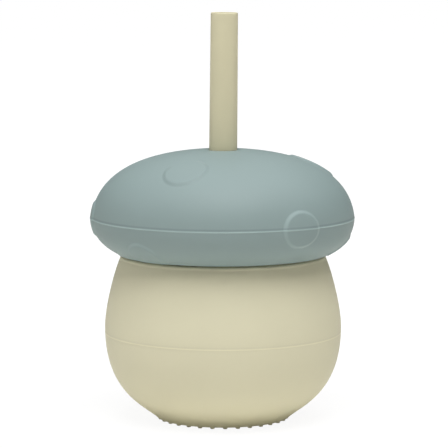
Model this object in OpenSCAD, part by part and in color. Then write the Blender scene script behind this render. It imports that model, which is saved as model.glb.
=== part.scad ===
// Toddler's sippy cup in soft silicone: a round cup, a mushroom-cap lid that
// plugs into its mouth, and a drinking straw through the lid.
// Millimetres. +Z is up, and the origin is on the ground under the cup's middle.

/* [Cup] */
// Radius of the cup at its widest
belly_r = 40.5; // [39:0.1:42]
// Height of the cup's widest level
belly_z = 31.6; // [30:0.2:34]
// Radius of the flat base
base_r = 22.9; // [21:0.1:24]
// Radius of the shoulder that the lid sits over
shoulder_r = 35.2; // [34.6:0.1:35.6]
// Height of the shoulder
shoulder_z = 56.5; // [56:0.1:56.7]
// Outer radius of the neck inside the lid
neck_r = 33.2; // [32.8:0.1:33.4]
// Height of the rim of the mouth
rim_z = 66; // [64:0.1:66]
// Thickness of the cup's wall
cup_wall = 2.4; // [2:0.1:2.8]
// Thickness of the cup's floor
floor_t = 3.4; // [2.5:0.1:4.5]

/* [Base studs] */
// Number of rings of grip studs round the middle one
stud_rings = 4; // [1:1:4]
// Studs added from each ring to the next
studs_per_step = 8; // [4:1:8]
// Diameter of a stud
stud_d = 1.5; // [1:0.1:1.8]
// Height of a stud
stud_h = 0.6; // [0.4:0.1:0.8]

/* [Lid] */
// Radius of the cap at its widest
cap_r = 45; // [44:0.1:48]
// Height of the cap's widest level
cap_z = 69.2; // [68:0.1:71]
// Height of the top of the cap
cap_top_z = 92.5; // [90:0.1:95]
// Outer radius of the lip round the cup's neck
lip_r = 36; // [35.5:0.1:36.5]
// Height of the bottom of the lip
lip_z = 57; // [57:0.1:57.5]
// Thickness of the cap's wall
cap_wall = 2.4; // [2:0.1:2.8]
// Gap between the lid and the cup's neck, inside and outside
neck_gap = 0.3; // [0.25:0.05:0.4]
// Thickness of the plug ring in the cup's mouth
plug_t = 2.2; // [1.6:0.1:2.6]
// Height of the bottom of the plug ring
plug_z = 58; // [57:0.1:60]
// How far a sealing bead stands out from the plug ring
bead_h = 0.2; // [0.1:0.02:0.2]
// Width of the ledge on the plug ring that stops on the cup's rim
ledge_w = 2; // [1:0.1:2.6]
// Diameter of the air vent behind the straw
vent_d = 1.4; // [1:0.1:2]

/* [Dots on the lid] */
// How far a dot stands out from the cap
dot_h = 0.5; // [0.3:0.05:0.7]

/* [Straw] */
// Outer radius of the straw where the lid holds it
straw_r = 4.78; // [4.76:0.01:4.8]
// Outer radius of the straw at its mouth end
straw_tip_r = 4.62; // [4.4:0.01:4.76]
// Radius of the straw's bore
straw_bore_r = 3.2; // [2.6:0.05:3.5]
// Radius of the hole in the lid
straw_hole_r = 4.85; // [4.82:0.01:4.88]
// Height of the top of the straw
straw_top_z = 139; // [125:1:150]
// Height of the bottom of the straw
straw_foot_z = 6.5; // [6:0.1:10]

/* [Hidden] */
$fn = 96;

CREAM = "#d9d2b4";
BLUE_GREY = "#9bb0ae";

// Straight pieces in a curved outline, between one end of the curve and the other
CURVE_STEPS = 14;
// Straight pieces in a rounded edge
EDGE_STEPS = 4;

floor_z = stud_h + floor_t;
mouth_r = neck_r - cup_wall;
lip_inner_r = neck_r + neck_gap;
plug_r = mouth_r - neck_gap;
ledge_z = rim_z + 0.1;

// Each dot: degrees round from the front, towards +X; place down the outline of
// the cap, 0 at its top, 1 at its widest and 2 at its lip; and diameter
DOTS = [
    [-25, 0.45, 15.8], [103.5, 0.48, 16.2], [-130, 0.55, 15], [172, 0.42, 13.2],
    [35.6, 1, 13.2], [-85.5, 1, 12.4], [150, 1, 13.2], [-152, 1, 12.6],
    [-40, 1.61, 13.4], [84.5, 1.65, 13.2], [-107, 1.6, 12], [122, 1.62, 12.4], [178, 1.6, 13],
];

// ---- curves ----

// Four control points of each half of an outline, as [radius, height]
CUP_LOWER = [
    [base_r, stud_h], [base_r + 4.3, stud_h + 4.4], [belly_r, belly_z - 22.7], [belly_r, belly_z]
];
CUP_UPPER = [
    [belly_r, belly_z], [belly_r, belly_z + 7.6], [shoulder_r + 1.5, shoulder_z - 4.2],
    [shoulder_r, shoulder_z - 0.4]
];
CAP_UPPER = [
    [0, cap_top_z], [28.4, cap_top_z], [cap_r - 1.5, cap_z + 14.8], [cap_r, cap_z]
];
CAP_LOWER = [
    [cap_r, cap_z], [cap_r - 0.3, cap_z - 9], [lip_r + 0.9, lip_z + 1.2], [lip_r, lip_z]
];

// Point of a cubic curve, t from 0 to 1
function curve_at(p, t) =
    pow(1 - t, 3) * p[0] + 3 * pow(1 - t, 2) * t * p[1] + 3 * (1 - t) * t * t * p[2]
    + pow(t, 3) * p[3];

// Direction of the curve at t
function curve_dir(p, t) =
    pow(1 - t, 2) * (p[1] - p[0]) + 2 * (1 - t) * t * (p[2] - p[1]) + t * t * (p[3] - p[2]);

// Points along a curve, its first one left out when from = 1
function curve(p, from = 0) = [for (i = [from:CURVE_STEPS]) curve_at(p, i / CURVE_STEPS)];

// Points of a curve moved by d to the right of its direction
function beside(p, d, from = 0) = [
    for (i = [from:CURVE_STEPS])
        let (t = i / CURVE_STEPS, dir = curve_dir(p, t))
            curve_at(p, t) + d * [dir.y, -dir.x] / norm(dir)
];

// Points of an arc, from angle a to angle b
function arc(centre, r, a, b) = [
    for (i = [0:EDGE_STEPS])
        let (angle = a + (b - a) * i / EDGE_STEPS) centre + r * [cos(angle), sin(angle)]
];

// ---- cup ----

// Inside of the cup: its wall's thickness in from the outside, with a funnel up to the neck
module cup_hollow() {
    funnel_z = shoulder_z - 5;
    lower = [for (p = beside(CUP_LOWER, -cup_wall)) if (p.y > floor_z + 1) p];
    upper = [for (p = beside(CUP_UPPER, -cup_wall, 1)) if (p.y < funnel_z) p];
    foot_r = lower[0].x - 1.6;
    rotate_extrude() polygon(concat(
        [[0, floor_z], [foot_r, floor_z]], lower, upper,
        [[mouth_r, shoulder_z - 1], [mouth_r, rim_z + 1], [0, rim_z + 1]]
    ));
}

module cup_solid() {
    lip = cup_wall / 2;
    rotate_extrude() polygon(concat(
        [[0, stud_h]], curve(CUP_LOWER), curve(CUP_UPPER, 1),
        arc([shoulder_r - 0.4, shoulder_z - 0.4], 0.4, 30, 90), [[neck_r, shoulder_z]],
        arc([neck_r - lip, rim_z - lip], lip, 0, 180), [[mouth_r, shoulder_z], [0, shoulder_z]]
    ));
}

// Grip studs under the base, in rings round a middle one
module studs() {
    pitch = (base_r - 1) / stud_rings;
    cylinder(d = stud_d, h = stud_h + 0.5);
    for (ring = [1:stud_rings], i = [0:ring * studs_per_step - 1])
        rotate(360 * i / (ring * studs_per_step) - 90)
            translate([ring * pitch, 0, 0])
                cylinder(d = stud_d, h = stud_h + 0.5);
}

module cup() {
    color(CREAM) {
        difference() {
            cup_solid();
            cup_hollow();
        }
        studs();
    }
}

// ---- lid ----

// Solid cap, its outside moved by "out"
module cap_solid(out = 0) {
    side = [for (p = beside(CAP_LOWER, -out, 1)) if (p.y > lip_z + 0.01) p];
    rotate_extrude() polygon(concat(
        [[0, lip_z], [0, cap_top_z + out]], beside(CAP_UPPER, -out, 1), side, [[lip_r, lip_z]]
    ));
}

module cap_hollow() {
    side = [for (p = beside(CAP_LOWER, cap_wall, 1)) if (p.x > lip_inner_r + 0.3) p];
    last = side[len(side) - 1];
    rotate_extrude() polygon(concat(
        [[0, lip_z - 1], [0, cap_top_z - cap_wall]], beside(CAP_UPPER, cap_wall, 1), side,
        [[lip_inner_r, last.y - 0.4], [lip_inner_r, lip_z - 1]]
    ));
}

// Round pads, square to the cap where they stand
module dot_cores() {
    for (dot = DOTS) {
        half = dot[1] <= 1 ? CAP_UPPER : CAP_LOWER;
        t = dot[1] <= 1 ? dot[1] : dot[1] - 1;
        place = curve_at(half, t);
        dir = curve_dir(half, t);
        rotate(dot[0] - 90)
            translate([place.x, 0, place.y])
                rotate([0, atan2(-dir.y, dir.x), 0])
                    translate([0, 0, -6])
                        cylinder(d = dot[2], h = 8);
    }
}

module dots() {
    intersection() {
        cap_solid(dot_h);
        dot_cores();
    }
}

// Ring that hangs into the cup's mouth, with two sealing beads and the ledge over the rim
module plug_ring() {
    inner_r = plug_r - plug_t;
    ledge_r = plug_r + ledge_w;
    rotate_extrude() polygon(concat(
        [[inner_r, plug_z + 0.6], [inner_r + 0.6, plug_z], [plug_r - 0.6, plug_z]],
        [[plug_r, plug_z + 0.6]],
        arc([plug_r + bead_h - 0.5, plug_z + 2.5], 0.5, -53, 53),
        arc([plug_r + bead_h - 0.5, plug_z + 5.5], 0.5, -53, 53),
        [[plug_r, ledge_z], [ledge_r, ledge_z], [ledge_r, ledge_z + 1.4]],
        [[plug_r + 0.4, ledge_z + 4], [plug_r + 0.4, cap_top_z], [inner_r, cap_top_z]]
    ));
}

// Thick collar under the cap that grips the straw
module straw_collar() {
    rotate_extrude() polygon([
        [0, 79], [7.6, 79], [8.4, 79.8], [8.4, 85], [9.2, 87.6], [11.5, 89.4], [11.5, cap_top_z],
        [0, cap_top_z]
    ]);
}

module lid() {
    color(BLUE_GREY)
        difference() {
            union() {
                difference() {
                    union() {
                        cap_solid();
                        dots();
                    }
                    cap_hollow();
                }
                intersection() {
                    cap_solid(-cap_wall / 2);
                    union() {
                        plug_ring();
                        straw_collar();
                    }
                }
            }
            translate([0, 0, 70]) cylinder(r = straw_hole_r, h = 30);
            translate([0, 0, cap_top_z - 0.5])
                cylinder(r1 = straw_hole_r, r2 = straw_hole_r + 1, h = 1);
            translate([0, 17, 80]) cylinder(d = vent_d, h = 20);
        }
}

// ---- straw ----

module straw() {
    edge = 0.5;
    color(CREAM)
        rotate_extrude() polygon(concat(
            [[straw_bore_r, straw_foot_z]],
            arc([straw_r - edge, straw_foot_z + edge], edge, -90, 0),
            [[straw_r, cap_top_z]],
            arc([straw_tip_r - edge, straw_top_z - edge], edge, 0, 90),
            [[straw_bore_r, straw_top_z]]
        ));
}

cup();
lid();
straw();
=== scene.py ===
import math

import bpy
from mathutils import Matrix, Vector


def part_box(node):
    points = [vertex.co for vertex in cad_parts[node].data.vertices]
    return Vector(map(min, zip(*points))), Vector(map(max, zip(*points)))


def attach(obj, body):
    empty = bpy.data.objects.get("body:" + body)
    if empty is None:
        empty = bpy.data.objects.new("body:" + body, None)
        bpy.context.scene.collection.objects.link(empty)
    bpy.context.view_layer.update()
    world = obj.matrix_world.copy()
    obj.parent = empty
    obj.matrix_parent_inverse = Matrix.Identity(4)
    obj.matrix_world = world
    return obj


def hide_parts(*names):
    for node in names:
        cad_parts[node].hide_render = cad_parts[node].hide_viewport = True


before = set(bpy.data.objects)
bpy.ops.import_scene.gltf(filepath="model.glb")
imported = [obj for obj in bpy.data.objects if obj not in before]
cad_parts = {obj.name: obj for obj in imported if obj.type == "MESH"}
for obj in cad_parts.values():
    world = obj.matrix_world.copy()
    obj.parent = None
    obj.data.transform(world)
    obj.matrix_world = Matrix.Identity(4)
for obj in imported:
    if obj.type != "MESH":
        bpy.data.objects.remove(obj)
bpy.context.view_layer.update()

bl_info = {
    "name": "Mushroom Sippy Cup",
    "version": (1, 0, 0),
    "blender": (4, 5, 0),
    "location": "3D View > Sidebar > Sippy Cup",
    "description": "Builds a soft silicone sippy cup with a mushroom-cap lid and a straw",
    "category": "Add Mesh",
}

MM = 0.001

CUP_LOW, CUP_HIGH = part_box("cup")
LID_LOW, LID_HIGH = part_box("lid")
STRAW_LOW, STRAW_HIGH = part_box("straw")


# ---- sizes and colours that a user would change ----

def length(name, text, metres):
    return bpy.props.FloatProperty(name=name, description=text, default=metres, unit="LENGTH",
                                   precision=5)


def colour(name, text, rgb):
    return bpy.props.FloatVectorProperty(name=name, description=text, default=rgb, size=3,
                                         subtype="COLOR", min=0.0, max=1.0)


class SippyCupCup(bpy.types.PropertyGroup):
    belly_radius: length("Belly radius", "Radius of the cup at its widest", CUP_HIGH.x)
    belly_height: length("Belly height", "Height of the cup's widest level", 31.6 * MM)
    base_radius: length("Base radius", "Radius of the flat base", 22.9 * MM)
    shoulder_radius: length("Shoulder radius", "Radius of the cup just under the lid", 35.2 * MM)
    shoulder_height: length("Shoulder height", "Height of the ledge under the lid", 56.5 * MM)
    neck_radius: length("Neck radius", "Outer radius of the neck inside the lid", 33.2 * MM)
    rim_height: length("Rim height", "Height of the rim of the mouth", CUP_HIGH.z)
    wall: length("Wall", "Thickness of the wall", 2.4 * MM)
    floor: length("Floor", "Thickness of the floor", 3.4 * MM)
    seam_height: length("Seam height", "Height of the moulding line", 29.9 * MM)
    seam_width: length("Seam width", "Width of the moulding line", 0.3 * MM)
    seam_rise: length("Seam rise", "How far the moulding line stands out", 0.035 * MM)
    stud_diameter: length("Stud diameter", "Diameter of a grip stud", 1.5 * MM)
    stud_height: length("Stud height", "Height of a grip stud", 0.6 * MM)
    silicone: colour("Silicone", "Colour of the cup", (0.742, 0.710, 0.518))


class SippyCupLid(bpy.types.PropertyGroup):
    cap_radius: length("Cap radius", "Radius of the cap at its widest, inside its moulding line",
                       LID_HIGH.y - 0.08 * MM)
    cap_height: length("Cap height", "Height of the cap's widest level", 69.2 * MM)
    top_height: length("Top height", "Height of the top of the cap", 92.5 * MM)
    lip_radius: length("Lip radius", "Outer radius of the lip", 36.0 * MM)
    lip_height: length("Lip height", "Height of the bottom of the lip", LID_LOW.z)
    wall: length("Wall", "Thickness of the cap's wall", 2.4 * MM)
    dot_height: length("Dot height", "How far a dot stands out from the cap", 0.5 * MM)
    dot_edge: length("Dot edge", "Width of the rounded edge of a dot", 1.7 * MM)
    seam_width: length("Seam width", "Width of the moulding line", 0.36 * MM)
    seam_rise: length("Seam rise", "How far the moulding line stands out", 0.07 * MM)
    silicone: colour("Silicone", "Colour of the lid", (0.261, 0.339, 0.336))


class SippyCupStraw(bpy.types.PropertyGroup):
    radius: length("Radius", "Outer radius where the lid holds it", STRAW_HIGH.x)
    tip_radius: length("Tip radius", "Outer radius at the mouth end", 4.62 * MM)
    bore_radius: length("Bore radius", "Radius of the bore", 3.2 * MM)
    foot_height: length("Foot height", "Height of the lower end", STRAW_LOW.z)
    top_height: length("Top height", "Height of the mouth end", STRAW_HIGH.z - 0.05 * MM)
    lean: bpy.props.FloatProperty(name="Lean", description="How far it leans to the right",
                                  default=math.radians(0.5), subtype="ANGLE")
    silicone: colour("Silicone", "Colour of the straw", (0.652, 0.609, 0.417))


# ---- mesh helpers ----

# Steps round the cup and the lid, and round the straw
BODY_STEPS, STRAW_STEPS = 192, 64
# Edges that turn more than this stay sharp
SHARP_EDGE = math.radians(40)

def deselect_all():
    if bpy.context.object and bpy.context.object.mode != "OBJECT":
        bpy.ops.object.mode_set(mode="OBJECT")
    bpy.ops.object.select_all(action="DESELECT")


def activate(piece):
    deselect_all()
    piece.select_set(True)
    bpy.context.view_layer.objects.active = piece


def curve(p, steps, first=0):
    """Points along a cubic curve with the control points p, each (radius, height)."""
    points = []
    for i in range(first, steps + 1):
        t = i / steps
        s = 1 - t
        a, b, c, d = s * s * s, 3 * s * s * t, 3 * s * t * t, t * t * t
        points.append(tuple(a * p[0][k] + b * p[1][k] + c * p[2][k] + d * p[3][k] for k in (0, 1)))
    return points


def beside(points, distance):
    """The same line moved sideways, to the right of its direction."""
    moved = []
    for i, (r, z) in enumerate(points):
        r0, z0 = points[max(i - 1, 0)]
        r1, z1 = points[min(i + 1, len(points) - 1)]
        size = math.hypot(r1 - r0, z1 - z0)
        moved.append((r + distance * (z1 - z0) / size, z - distance * (r1 - r0) / size))
    return moved


def arc(r, z, radius, start, end, steps=5):
    """Points of an arc round (r, z), from the angle start to the angle end in degrees."""
    angles = [math.radians(start + (end - start) * i / steps) for i in range(steps + 1)]
    return [(r + radius * math.cos(a), z + radius * math.sin(a)) for a in angles]


def spaced(start, end, gap):
    """Points on a straight line from start to end, both left out, no more than gap apart."""
    count = math.ceil(math.dist(start, end) / gap)
    return [tuple(start[k] + (end[k] - start[k]) * i / count for k in (0, 1))
            for i in range(1, count)]


def with_ridge(points, height, width, rise):
    """The outline with a fine ridge across it at that height, width wide at its foot."""
    foot, crest = width / 2, width / 5
    ridged = []
    for (r0, z0), (r1, z1) in zip(points, points[1:]):
        ridged.append((r0, z0))
        if (z0 - height) * (z1 - height) < 0 or z1 == height:
            r = r0 + (r1 - r0) * (height - z0) / (z1 - z0)
            way = 1 if z1 > z0 else -1
            ridged += [(r, height - way * foot), (r + rise, height - way * crest),
                       (r + rise, height + way * crest), (r, height + way * foot)]
    ridged.append(points[-1])
    replaced = {p for p in points if height - foot < p[1] < height + foot}
    return [p for p in ridged if p not in replaced]


def turned(name, outline, steps):
    """A solid turned about Z from its outline, a list of (radius, height)."""
    deselect_all()
    bpy.ops.mesh.primitive_plane_add(size=MM)
    piece = bpy.context.object
    piece.name = piece.data.name = name
    bpy.ops.object.mode_set(mode="EDIT")
    bpy.ops.mesh.select_mode(type="VERT")
    bpy.ops.mesh.select_all(action="SELECT")
    bpy.ops.mesh.merge(type="CENTER")
    at = (0.0, 0.0)
    for r, z in outline:
        step = (r - at[0], 0.0, z - at[1])
        if (r, z) == outline[0]:
            bpy.ops.transform.translate(value=step)
        else:
            bpy.ops.mesh.extrude_vertices_move(TRANSFORM_OT_translate={"value": step})
        at = (r, z)
    bpy.ops.mesh.select_all(action="SELECT")
    bpy.ops.mesh.spin(steps=steps, angle=2 * math.pi, center=(0, 0, 0), axis=(0, 0, 1))
    bpy.ops.mesh.select_all(action="SELECT")
    bpy.ops.mesh.remove_doubles(threshold=0.002 * MM)
    bpy.ops.mesh.normals_make_consistent(inside=False)
    bpy.ops.object.mode_set(mode="OBJECT")
    return piece


def select_where(piece, kind, test):
    """In edit mode afterwards, with just the faces or vertices of kind that pass the test."""
    activate(piece)
    bpy.ops.object.mode_set(mode="EDIT")
    bpy.ops.mesh.select_mode(type="FACE" if kind == "faces" else "VERT")
    bpy.ops.mesh.select_all(action="DESELECT")
    bpy.ops.object.mode_set(mode="OBJECT")
    for part in piece.data.polygons if kind == "faces" else piece.data.vertices:
        part.select = test(part)
    bpy.ops.object.mode_set(mode="EDIT")


def cut_or_join(piece, tool, operation):
    """Joins the tool to the piece, or cuts it out, and deletes the tool."""
    activate(piece)
    step = piece.modifiers.new(operation.title(), "BOOLEAN")
    step.operation = operation
    step.object = tool
    step.solver = "EXACT"
    bpy.ops.object.modifier_apply(modifier=step.name)
    bpy.data.objects.remove(tool)


def finished(piece, body, material):
    """Shades the piece, gives it its material, and puts it on its body in place of the CAD node."""
    activate(piece)
    bpy.ops.object.shade_smooth_by_angle(angle=SHARP_EDGE)
    piece.data.materials.clear()
    piece.data.materials.append(material)
    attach(piece, body)
    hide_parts(body)


# ---- shader helpers ----

class Value:
    """A socket with ordinary arithmetic, each step a node."""

    def __init__(self, tree, socket):
        self.tree = tree
        self.socket = socket

    def step(self, operation, *others):
        return self.tree.node("ShaderNodeMath", {"operation": operation}, [self, *others])

    def __add__(self, other):
        return self.step("ADD", other)

    __radd__ = __add__

    def __sub__(self, other):
        return self.step("SUBTRACT", other)

    def __rsub__(self, other):
        return self.tree.node("ShaderNodeMath", {"operation": "SUBTRACT"}, [other, self])

    def __mul__(self, other):
        return self.step("MULTIPLY", other)

    __rmul__ = __mul__

    def __abs__(self):
        return self.step("ABSOLUTE")

    def smooth(self, low, high):
        """0 below low, 1 above high, with a soft step between."""
        return self.tree.node("ShaderNodeMapRange", {"interpolation_type": "SMOOTHSTEP"},
                              {"Value": self, "From Min": low, "From Max": high})


class Shader:
    """A new material's node tree."""

    def __init__(self, name):
        self.material = bpy.data.materials.new(name)
        self.material.use_nodes = True
        self.tree = self.material.node_tree
        self.tree.nodes.clear()

    def node(self, kind, settings, sockets, output=0):
        """Adds a node: its settings first, then the values or links of its sockets."""
        node = self.tree.nodes.new(kind)
        for name, value in settings.items():
            setattr(node, name, value)
        pairs = sockets.items() if isinstance(sockets, dict) else enumerate(sockets)
        for key, value in pairs:
            if isinstance(value, Value):
                self.tree.links.new(value.socket, node.inputs[key])
            else:
                node.inputs[key].default_value = value
        return Value(self, node.outputs[output]) if len(node.outputs) else node

    def place(self):
        return self.node("ShaderNodeTexCoord", {}, {}, "Object")

    def height(self):
        return self.node("ShaderNodeSeparateXYZ", {}, [self.place()], "Z")

    def noise(self, size, detail):
        """Noise whose blobs are about that many metres across."""
        return self.node("ShaderNodeTexNoise", {}, {"Vector": self.place(), "Scale": 1 / size,
                                                    "Detail": detail})

    def mix(self, factor, a, b):
        return self.node("ShaderNodeMix", {"data_type": "RGBA"}, {0: factor, 6: a, 7: b}, 2)

    def finish(self, surface):
        self.node("ShaderNodeOutputMaterial", {}, {"Surface": surface})
        return self.material


# Silicone: how far its mottling and its grain reach, and what they do to its colour and gloss
CLOUD_SIZE, CLOUD_SHADE, CLOUD_ROUGHNESS = 22 * MM, 0.05, 0.08
GRAIN_SIZE, GRAIN_DEPTH, GRAIN_BUMP, GRAIN_ROUGHNESS = 0.35 * MM, 0.03 * MM, 0.12, 0.05
SMOOTHEST = 0.52
SILICONE_IOR = 1.41


def silicone(name, rgb, seam=None, edge_highlight=0.0):
    """Matte, soft-touch silicone: a little mottled, with a fine grain.

    seam is the height of the moulding line and its width, how much lighter its painted highlight
    is, and how much darker the painted shade on the fine line above it; the last argument is how
    much lighter a painted highlight makes the edges marked for it.
    """
    shader = Shader(name)
    cloud = shader.noise(CLOUD_SIZE, detail=3.0)
    share = (1 - CLOUD_SHADE / 2) + CLOUD_SHADE * cloud
    if seam:
        height, width, lighter, darker = seam
        above = shader.height() - height
        # Painted highlight along the moulding line, and painted shade on a fine line just above it
        line = 1 - abs(above).smooth(0.4 * width, 0.8 * width)
        shade_starts = above.smooth(0.8 * width, 1.4 * width)
        shade_ends = above.smooth(2.2 * width, 3.2 * width)
        share = share + lighter * line - darker * (shade_starts * (1 - shade_ends))
    # Painted highlight along the edges marked for it
    if edge_highlight:
        edges = shader.node("ShaderNodeAttribute", {"attribute_name": "edge_highlight"}, {}, "Fac")
        share = share + edge_highlight * edges
    base = shader.node("ShaderNodeVectorMath", {"operation": "SCALE"},
                       {0: tuple(rgb), "Scale": share})
    grain = shader.noise(GRAIN_SIZE, detail=1.0)
    roughness = SMOOTHEST + CLOUD_ROUGHNESS * cloud + GRAIN_ROUGHNESS * grain
    bump = shader.node("ShaderNodeBump", {}, {"Strength": GRAIN_BUMP, "Distance": GRAIN_DEPTH,
                                              "Height": grain})
    surface = shader.node("ShaderNodeBsdfPrincipled", {}, {
        "Base Color": base, "Roughness": roughness, "Normal": bump,
        "IOR": SILICONE_IOR,
    })
    return shader.finish(surface)


# ---- the cup ----

def cup_outline(size):
    """Up the outside of the cup from the middle of its base, and down its inside."""
    wall, stud = size.wall, size.stud_height
    base, belly, shoulder = size.base_radius, size.belly_radius, size.shoulder_radius
    level, top = size.belly_height, size.shoulder_height
    shoulder_edge, root_edge, lip_edge = 1.1 * MM, 0.3 * MM, wall / 2
    flat_step, tall_step = 3 * MM, 1.5 * MM
    lower = curve([(base, stud), (base + 4.3 * MM, stud + 4.4 * MM),
                   (belly, level - 22.7 * MM), (belly, level)], 44)
    upper = curve([(belly, level), (belly, level + 7.6 * MM),
                   (shoulder + 1.5 * MM, top - 4.2 * MM), (shoulder, top - shoulder_edge)], 30, 1)
    outside = lower + upper
    mouth, rim = size.neck_radius - wall, size.rim_height
    floor, funnel = stud + size.floor, top - 5 * MM
    inside = [p for p in beside(outside, -wall) if floor + 1.5 * MM < p[1] < funnel]
    foot = (inside[0][0] - 2.2 * MM, floor)
    bend = curve([inside[-1], (inside[-1][0] - 0.9 * MM, funnel + 2 * MM), (mouth, top - 3 * MM),
                  (mouth, top)], 10, 1)
    toe = curve([inside[0], (inside[0][0] - 0.9 * MM, floor + 0.5 * MM),
                 (foot[0] + 0.8 * MM, floor), foot], 6, 1)
    outside = with_ridge(outside, size.seam_height, size.seam_width, size.seam_rise)
    ledge = arc(shoulder - shoulder_edge, top - shoulder_edge, shoulder_edge, 10, 90, 8)
    neck_root = arc(size.neck_radius + root_edge, top + root_edge, root_edge, 270, 180)
    lip = arc(size.neck_radius - lip_edge, rim - lip_edge, lip_edge, 0, 180, 12)
    base_disc = [(0.0, stud)] + spaced((0.0, stud), (base, stud), flat_step)
    floor_disc = spaced(foot, (0.0, floor), flat_step) + [(0.0, floor)]
    return (base_disc + outside + ledge + neck_root + spaced(neck_root[-1], lip[0], tall_step)
            + lip + spaced(lip[-1], bend[-1], tall_step) + bend[::-1] + inside[::-1] + toe
            + floor_disc)


def grip_stud(size):
    """One stud, rounded at its foot and sunk a little way into the base."""
    radius, depth = size.stud_diameter / 2, size.stud_height
    sunk, rounded = 0.4 * MM, 0.35 * depth
    deselect_all()
    bpy.ops.mesh.primitive_cylinder_add(vertices=16, radius=radius, depth=depth + sunk,
                                        location=(0, 0, (depth + sunk) / 2))
    stud = bpy.context.object
    stud.name = stud.data.name = "grip_stud"
    bpy.ops.object.transform_apply()
    select_where(stud, "faces", lambda face: face.normal.z < -0.9)
    bpy.ops.mesh.bevel(offset=rounded, segments=3)
    bpy.ops.object.mode_set(mode="OBJECT")
    return stud


# The rings of grip studs round the middle one, the studs that each ring adds to the one inside
# it, how far they are turned from the front, and the bare edge of the base outside them
STUD_RINGS, STUDS_ADDED = 4, 8
STUD_TURN = math.radians(1.9)
STUD_MARGIN = 1 * MM


def all_studs(size):
    """Rings of studs round a middle one, joined into one tool."""
    first = grip_stud(size)
    studs = []
    for ring in range(1, STUD_RINGS + 1):
        radius = ring * (size.base_radius - STUD_MARGIN) / STUD_RINGS
        count = STUDS_ADDED * ring
        for i in range(count):
            angle = 2 * math.pi * i / count - math.pi / 2 + STUD_TURN
            copy = first.copy()
            copy.data = first.data.copy()
            copy.data.transform(Matrix.Translation((radius * math.cos(angle),
                                                    radius * math.sin(angle), 0)))
            bpy.context.scene.collection.objects.link(copy)
            studs.append(copy)
    activate(first)
    for stud in studs:
        stud.select_set(True)
    bpy.ops.object.join()
    return first


class MESH_OT_sippy_cup_cup(bpy.types.Operator):
    """Build the round cup with its grip studs"""
    bl_idname = "mesh.sippy_cup_cup"
    bl_label = "Cup"

    def execute(self, context):
        size = context.scene.sippy_cup_cup
        cup = turned("cup_shell", cup_outline(size), BODY_STEPS)
        cut_or_join(cup, all_studs(size), "UNION")
        # The moulding line gets a painted highlight (0.11) and a painted shade just above it (0.04)
        material = silicone("cream_silicone", size.silicone,
                            (size.seam_height, size.seam_width, 0.11, 0.04))
        finished(cup, "cup", material)
        return {"FINISHED"}


# ---- the lid ----

# Each dot: degrees round from the front, towards +X; place down the cap, 0 at its top, 1 at its
# widest and 2 at its lip; half its width round the cap, and half its height down the cap
DOTS = [
    (-24.2, 0.45, 7.15 * MM, 7.9 * MM), (103.5, 0.48, 7.9 * MM, 8.1 * MM),
    (-130, 0.55, 7.4 * MM, 7.0 * MM), (172, 0.42, 6.6 * MM, 6.4 * MM),
    (35.6, 1.005, 6.8 * MM, 6.0 * MM), (-85.5, 1.00, 6.2 * MM, 5.9 * MM),
    (150, 1.00, 6.8 * MM, 6.2 * MM), (-152, 1.00, 6.6 * MM, 6.0 * MM),
    (-40, 1.61, 6.5 * MM, 6.5 * MM), (84.5, 1.65, 6.4 * MM, 6.4 * MM),
    (-107, 1.60, 6.4 * MM, 6.0 * MM), (122, 1.62, 6.4 * MM, 6.2 * MM),
    (178, 1.60, 6.6 * MM, 6.4 * MM),
]


def cap_curves(size):
    """The control points of the cap's outline above and below its widest level."""
    cap, level, top = size.cap_radius, size.cap_height, size.top_height
    lip, foot = size.lip_radius, size.lip_height
    upper = [(0.0, top), (28.4 * MM, top), (cap - 1.5 * MM, level + 14.8 * MM), (cap, level)]
    lower = [(cap, level), (cap - 0.3 * MM, level - 9 * MM), (lip + 0.9 * MM, foot + 1.2 * MM),
             (lip, foot)]
    return upper, lower


# Gaps between the lid and the straw, the cup's neck and the cup's rim
STRAW_GAP, NECK_GAP, RIM_GAP = 0.07 * MM, 0.3 * MM, 0.1 * MM
# Collar round the straw, as (radius, height) from the cap's inside down to the collar's foot
COLLAR = [(11.5 * MM, 89.2 * MM), (9.2 * MM, 87.6 * MM), (8.4 * MM, 85.0 * MM),
          (8.4 * MM, 79.8 * MM), (8.1 * MM, 79.2 * MM), (7.6 * MM, 79.0 * MM)]
PLUG_THICKNESS = 2.2 * MM
# Sealing beads: radius, how far they stand out, and heights above the plug's foot
BEAD_RADIUS, BEAD_OUT, BEAD_HEIGHTS = 0.5 * MM, 0.2 * MM, (5.5 * MM, 2.5 * MM)
# Ledge on the plug that stops on the rim: its width, and the heights of its edge and its slope
LEDGE_WIDTH, LEDGE_EDGE, LEDGE_SLOPE = 2 * MM, 0.3 * MM, 4 * MM


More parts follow.
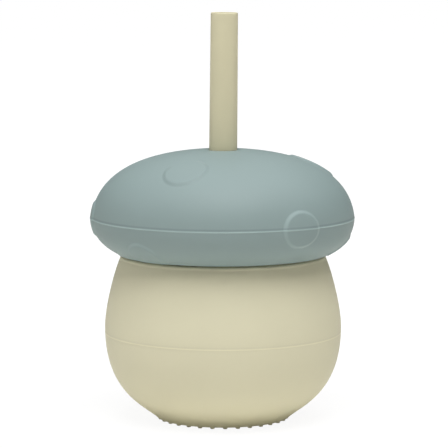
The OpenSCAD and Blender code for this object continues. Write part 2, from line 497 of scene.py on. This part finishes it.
def lid_outline(size):
    """Down the outside of the lid from the straw's hole, and back up its inside to the hole."""
    upper, lower = cap_curves(size)
    cup = bpy.context.scene.sippy_cup_cup
    foot = size.lip_height
    hole, hole_edge = STRAW_HIGH.x + STRAW_GAP, 0.7 * MM
    lip_inside, lip_edge = cup.neck_radius + NECK_GAP, 0.5 * MM
    plug = cup.neck_radius - cup.wall - NECK_GAP
    plug_inside, plug_foot, plug_edge = plug - PLUG_THICKNESS, foot + 1 * MM, 0.6 * MM
    plug_top = plug + 0.4 * MM
    ledge_z, ledge_r = cup.rim_height + RIM_GAP, plug + LEDGE_WIDTH - LEDGE_EDGE
    step = 2 * MM
    above = [p for p in curve(upper, 76) if p[0] > hole + hole_edge + 0.2 * MM]
    outside = above + [p for p in curve(lower, 40, 1) if p[1] > foot + lip_edge]
    inner = beside(curve(upper, 50) + curve(lower, 30, 1), size.wall)
    pocket = [p for p in inner if p[0] > plug_top and p[0] > lip_inside + 0.4 * MM
              or p[1] > ledge_z and p[0] > plug + 1.2 * MM]
    dome = [p for p in inner if COLLAR[0][0] + 0.3 * MM < p[0] < plug_inside - 1 * MM
            and p[1] > ledge_z]
    outside = with_ridge(outside, size.cap_height, size.seam_width, size.seam_rise)
    lip = (arc(outside[-1][0] - 0.9 * MM, foot + lip_edge, lip_edge, -40, -90, 4)
           + arc(lip_inside + lip_edge, foot + lip_edge, lip_edge, 270, 180, 4)
           + [(lip_inside, pocket[-1][1] - 0.6 * MM)])
    beads = [p for up in BEAD_HEIGHTS
             for p in arc(plug + BEAD_OUT - BEAD_RADIUS, plug_foot + up, BEAD_RADIUS, 53, -53, 6)]
    plug_end = (arc(plug - plug_edge, plug_foot + plug_edge, plug_edge, 0, -90, 4)
                + arc(plug_inside + plug_edge, plug_foot + plug_edge, plug_edge, 270, 180, 4))
    ledge = ([(plug_top, ledge_z + LEDGE_SLOPE)]
             + arc(ledge_r, ledge_z + 1.1 * MM, LEDGE_EDGE, 60, 0, 3)
             + arc(ledge_r, ledge_z + LEDGE_EDGE, LEDGE_EDGE, 0, -90, 3) + [(plug, ledge_z)])
    corner = (plug_top, pocket[0][1] + 0.35 * MM)
    hole_foot = [(hole + 0.3 * MM, COLLAR[-1][1]), (hole, COLLAR[-1][1] + 0.3 * MM)]
    mouth = arc(hole + hole_edge, above[0][1] - hole_edge, hole_edge, 180, 95)
    line = (outside + lip + pocket[::-1] + [corner] + spaced(corner, ledge[0], step) + ledge
            + beads + plug_end)
    plug_root = (plug_inside, dome[-1][1] - 0.4 * MM)
    line += spaced(line[-1], plug_root, step) + [plug_root] + dome[::-1] + COLLAR + hole_foot
    line += spaced(hole_foot[-1], mouth[0], step) + mouth
    return line + [line[0]]


def dot_frames(size):
    """For each dot: its middle on the cap, and its unit directions round, down and out."""
    halves = cap_curves(size)
    frames = []
    for degrees, place, wide, tall in DOTS:
        half = halves[0] if place < 1 else halves[1]
        t = place if place < 1 else place - 1
        (r0, z0), (r, z), (r1, z1) = (curve(half, 1000)[max(0, min(1000, round(1000 * t) + k))]
                                      for k in (-1, 0, 1))
        turn = math.radians(degrees)
        outward = Vector((math.sin(turn), -math.cos(turn), 0))
        round_cap = Vector((math.cos(turn), math.sin(turn), 0))
        down = (outward * (r1 - r0) + Vector((0, 0, z1 - z0))).normalized()
        middle = outward * r + Vector((0, 0, z))
        frames.append((middle, round_cap, down, down.cross(round_cap), wide, tall))
    return frames


def dot_distance(spot, dot):
    """Distance from the dot's middle, as a share of its half size in that direction."""
    middle, round_cap, down, out, wide, tall = dot
    away = spot - middle
    across, along = away.dot(round_cap), away.dot(down)
    flat = math.hypot(across, along)
    if flat == 0:
        return 0.0
    stretch = away.length / flat
    return math.hypot(across * stretch / wide, along * stretch / tall)


# How far from a dot's middle the cap can belong to it, and how far its edge's finer mesh reaches
# on both sides and from the middle
DOT_REACH, FINE_EDGE, FINE_START = 12 * MM, 1.5 * MM, 3 * MM
# How far above and below the cap's widest level the dots' edges get a painted highlight
EDGE_HIGHLIGHT_REACH = 9 * MM


def raise_dots(lid, size):
    """Raises the dots out of the cap, with a finer mesh along their rounded edges."""
    dots = dot_frames(size)

    def near_edge(face):
        for dot in dots:
            away = (face.center - dot[0]).length
            if FINE_START < away < DOT_REACH and face.normal.dot(dot[3]) > 0.3:
                if abs(dot_distance(face.center, dot) - 1) * dot[5] < FINE_EDGE:
                    return True
        return False

    select_where(lid, "faces", near_edge)
    bpy.ops.mesh.subdivide(number_cuts=3, smoothness=1.0)
    bpy.ops.object.mode_set(mode="OBJECT")
    raised, edge_highlight = {}, [0.0] * len(lid.data.vertices)
    for vertex in lid.data.vertices:
        for dot in dots:
            if (vertex.co - dot[0]).length > DOT_REACH or vertex.normal.dot(dot[3]) < 0.2:
                continue
            inside = (1 - dot_distance(vertex.co, dot)) * dot[5] / size.dot_edge + 0.5
            t = max(0.0, min(1.0, inside))
            if t > 0:
                share = t * t * (3 - 2 * t)
                raised[vertex.index] = share
                # Painted highlight: lighter colour along each dot's rounded edge, strongest
                # mid-slope and near the cap's widest level
                near = max(0.0, 1 - abs(vertex.co.z - size.cap_height) / EDGE_HIGHLIGHT_REACH)
                edge_highlight[vertex.index] = 4 * share * (1 - share) * min(1, 3 * near)
    group = lid.vertex_groups.new(name="dots")
    for index, share in raised.items():
        group.add([index], share, "REPLACE")
    lid.data.attributes.new("edge_highlight", "FLOAT", "POINT").data.foreach_set("value", edge_highlight)
    activate(lid)
    step = lid.modifiers.new("Dots", "DISPLACE")
    step.direction = "NORMAL"
    step.mid_level = 0.0
    step.strength = size.dot_height
    step.vertex_group = group.name
    bpy.ops.object.modifier_apply(modifier=step.name)
    for vertex in lid.data.vertices:
        vertex.co.z = max(vertex.co.z, size.lip_height)
    lid.vertex_groups.clear()


# Air vent through the cap, behind the straw
VENT_RADIUS, VENT_PLACE = 0.7 * MM, (0, 17 * MM, 87 * MM)


class MESH_OT_sippy_cup_lid(bpy.types.Operator):
    """Build the mushroom-cap lid with its dots, plug ring and straw collar"""
    bl_idname = "mesh.sippy_cup_lid"
    bl_label = "Lid"

    def execute(self, context):
        size = context.scene.sippy_cup_lid
        lid = turned("lid_shell", lid_outline(size), BODY_STEPS)
        raise_dots(lid, size)
        deselect_all()
        bpy.ops.mesh.primitive_cylinder_add(vertices=24, radius=VENT_RADIUS, depth=14 * MM,
                                            location=VENT_PLACE)
        cut_or_join(lid, bpy.context.object, "DIFFERENCE")
        # The moulding line gets a painted highlight (0.35) and a painted shade just above it
        # (0.15), and the dots' edges a painted highlight (0.14)
        material = silicone("blue_grey_silicone", size.silicone,
                            (size.cap_height, size.seam_width, 0.35, 0.15), 0.14)
        finished(lid, "lid", material)
        return {"FINISHED"}


# ---- the straw ----

# How far under the top of the lid the straw starts to lean, inside the collar
BEND_DEPTH = 6.5 * MM


def straw_outline(size):
    """Up the outside of the straw from its foot, and down its bore."""
    bore, edge, bore_edge = size.bore_radius, 0.5 * MM, 0.2 * MM
    foot, top, grip = size.foot_height, size.top_height, (size.radius, LID_HIGH.z)
    lower = arc(size.radius - edge, foot + edge, edge, -90, 0)
    upper = arc(size.tip_radius - edge, top - edge, edge, 0, 90)
    line = arc(bore + bore_edge, foot + bore_edge, bore_edge, 180, 270, 3) + lower
    line += spaced(lower[-1], grip, 4 * MM) + [grip] + spaced(grip, upper[0], 2 * MM) + upper
    line += arc(bore + bore_edge, top - bore_edge, bore_edge, 90, 180, 3)
    return line + spaced(line[-1], line[0], 4 * MM) + [line[0]]


class MESH_OT_sippy_cup_straw(bpy.types.Operator):
    """Build the drinking straw"""
    bl_idname = "mesh.sippy_cup_straw"
    bl_label = "Straw"

    def execute(self, context):
        size = context.scene.sippy_cup_straw
        straw = turned("straw_tube", straw_outline(size), STRAW_STEPS)
        bend_z = LID_HIGH.z - BEND_DEPTH
        select_where(straw, "vertices", lambda vertex: vertex.co.z > bend_z)
        bpy.ops.transform.rotate(value=-size.lean, orient_axis="Y",
                                 center_override=(0, 0, bend_z))
        bpy.ops.object.mode_set(mode="OBJECT")
        material = silicone("straw_silicone", size.silicone)
        finished(straw, "straw", material)
        return {"FINISHED"}


# ---- floor, lights and camera ----

ROOM = 20
# Each soft light: name, degrees round from the front, degrees up, distance, size and power
LIGHTS = [
    ("over_the_cup", 0, 90, 0.85, 1.2, 3.7), ("front_high", 0, 63, 1.3, 0.9, 13.0),
    ("left_side", -90, 32, 1.3, 0.8, 2.1), ("right_high", 90, 60, 1.3, 0.8, 2.8),
    ("behind", 180, 50, 1.3, 0.8, 1.5),
]
# What the lights are aimed at, as a share of the lid's height
AIM = 0.75
CAMERA_LENS, CAMERA_SENSOR = 201.2, 36
CAMERA_PLACE = (0.33 * MM, -850 * MM, 167.3 * MM)
CAMERA_DOWN = math.radians(6.743)


def grey(level, warmth=0.0):
    """A neutral colour, or one with that much less blue."""
    return level, level, level - warmth, 1


def plain_white(name, base, glow, rings):
    """Matte white that glows: each ring is the distances from the cup between which its glow
    takes over from the one inside it."""
    shader = Shader(name)
    away = shader.node("ShaderNodeVectorMath", {"operation": "LENGTH"}, [shader.place()], "Value")
    for start, end, outer in rings:
        glow = shader.mix(away.smooth(start, end), glow, outer)
    surface = shader.node("ShaderNodeBsdfPrincipled", {}, {
        "Base Color": base, "Roughness": 0.9, "Specular IOR Level": 0.0,
        "Emission Color": glow, "Emission Strength": 1.0,
    })
    return shader.finish(surface)


def floor_sheet(name, material, drop):
    """A floor as wide as the room, that far under the cup."""
    deselect_all()
    bpy.ops.mesh.primitive_plane_add(size=ROOM, location=(0, 0, -drop))
    sheet = bpy.context.object
    sheet.name = sheet.data.name = name
    sheet.data.materials.append(material)
    return sheet


def soft_light(name, turn, height, away, size, watts):
    """A round soft box aimed at the cup, turned that many degrees round from the front."""
    data = bpy.data.lights.new(name, "AREA")
    data.shape = "DISK"
    data.size = size
    data.energy = watts
    light = bpy.data.objects.new(name, data)
    bpy.context.scene.collection.objects.link(light)
    turn, rise = math.radians(turn), math.radians(height)
    way = Vector((math.cos(rise) * math.sin(turn), -math.cos(rise) * math.cos(turn),
                  math.sin(rise)))
    light.location = Vector((0, 0, LID_HIGH.z * AIM)) + away * way
    light.rotation_euler = way.to_track_quat("Z", "Y").to_euler()


class MESH_OT_sippy_cup_stage(bpy.types.Operator):
    """Set up the floor, the soft lights and the camera"""
    bl_idname = "mesh.sippy_cup_stage"
    bl_label = "Stage"

    def execute(self, context):
        scene = context.scene
        bounce = floor_sheet("studio_bounce", plain_white(
            "bounce_white", (0.90, 0.88, 0.85, 1), grey(0.12, 0.01),
            [(0.03, 0.10, grey(0.02, 0.005)), (0.2, 1.2, grey(0.7))]), 0.1 * MM)
        bounce.visible_camera = False
        floor = floor_sheet("studio_floor", plain_white(
            "floor_white", grey(0.1), grey(0.92), [(0.05, 0.25, grey(1))]), 0)
        floor.visible_diffuse = floor.visible_glossy = floor.visible_shadow = False
        world = bpy.data.worlds.new("studio")
        world.use_nodes = True
        world.node_tree.nodes["Background"].inputs["Color"].default_value = (1, 1, 1, 1)
        world.cycles_visibility.diffuse = False
        world.cycles_visibility.glossy = False
        scene.world = world
        for light in LIGHTS:
            soft_light(*light)
        camera_data = bpy.data.cameras.new("camera")
        camera_data.lens = CAMERA_LENS
        camera_data.sensor_width = CAMERA_SENSOR
        camera = bpy.data.objects.new("camera", camera_data)
        scene.collection.objects.link(camera)
        camera.location = CAMERA_PLACE
        camera.rotation_euler = (math.pi / 2 - CAMERA_DOWN, 0, 0)
        scene.camera = camera
        scene.view_settings.view_transform = "Standard"
        return {"FINISHED"}


# ---- add-on ----

class VIEW3D_PT_sippy_cup(bpy.types.Panel):
    """Lists the steps that build the cup"""
    bl_label = "Sippy Cup"
    bl_idname = "VIEW3D_PT_sippy_cup"
    bl_space_type = "VIEW_3D"
    bl_region_type = "UI"
    bl_category = "Sippy Cup"

    def draw(self, context):
        for step in STEPS:
            self.layout.operator(step.bl_idname)


STEPS = (MESH_OT_sippy_cup_cup, MESH_OT_sippy_cup_lid, MESH_OT_sippy_cup_straw,
         MESH_OT_sippy_cup_stage)
GROUPS = {"sippy_cup_cup": SippyCupCup, "sippy_cup_lid": SippyCupLid,
          "sippy_cup_straw": SippyCupStraw}


def register():
    for item in (*GROUPS.values(), *STEPS, VIEW3D_PT_sippy_cup):
        bpy.utils.register_class(item)
    for name, group in GROUPS.items():
        setattr(bpy.types.Scene, name, bpy.props.PointerProperty(type=group))


def unregister():
    for name in GROUPS:
        delattr(bpy.types.Scene, name)
    for item in (VIEW3D_PT_sippy_cup, *reversed(STEPS), *GROUPS.values()):
        bpy.utils.unregister_class(item)


def main():
    register()
    bpy.ops.mesh.sippy_cup_cup()
    bpy.ops.mesh.sippy_cup_lid()
    bpy.ops.mesh.sippy_cup_straw()
    bpy.ops.mesh.sippy_cup_stage()


if __name__ == "__main__":
    main()
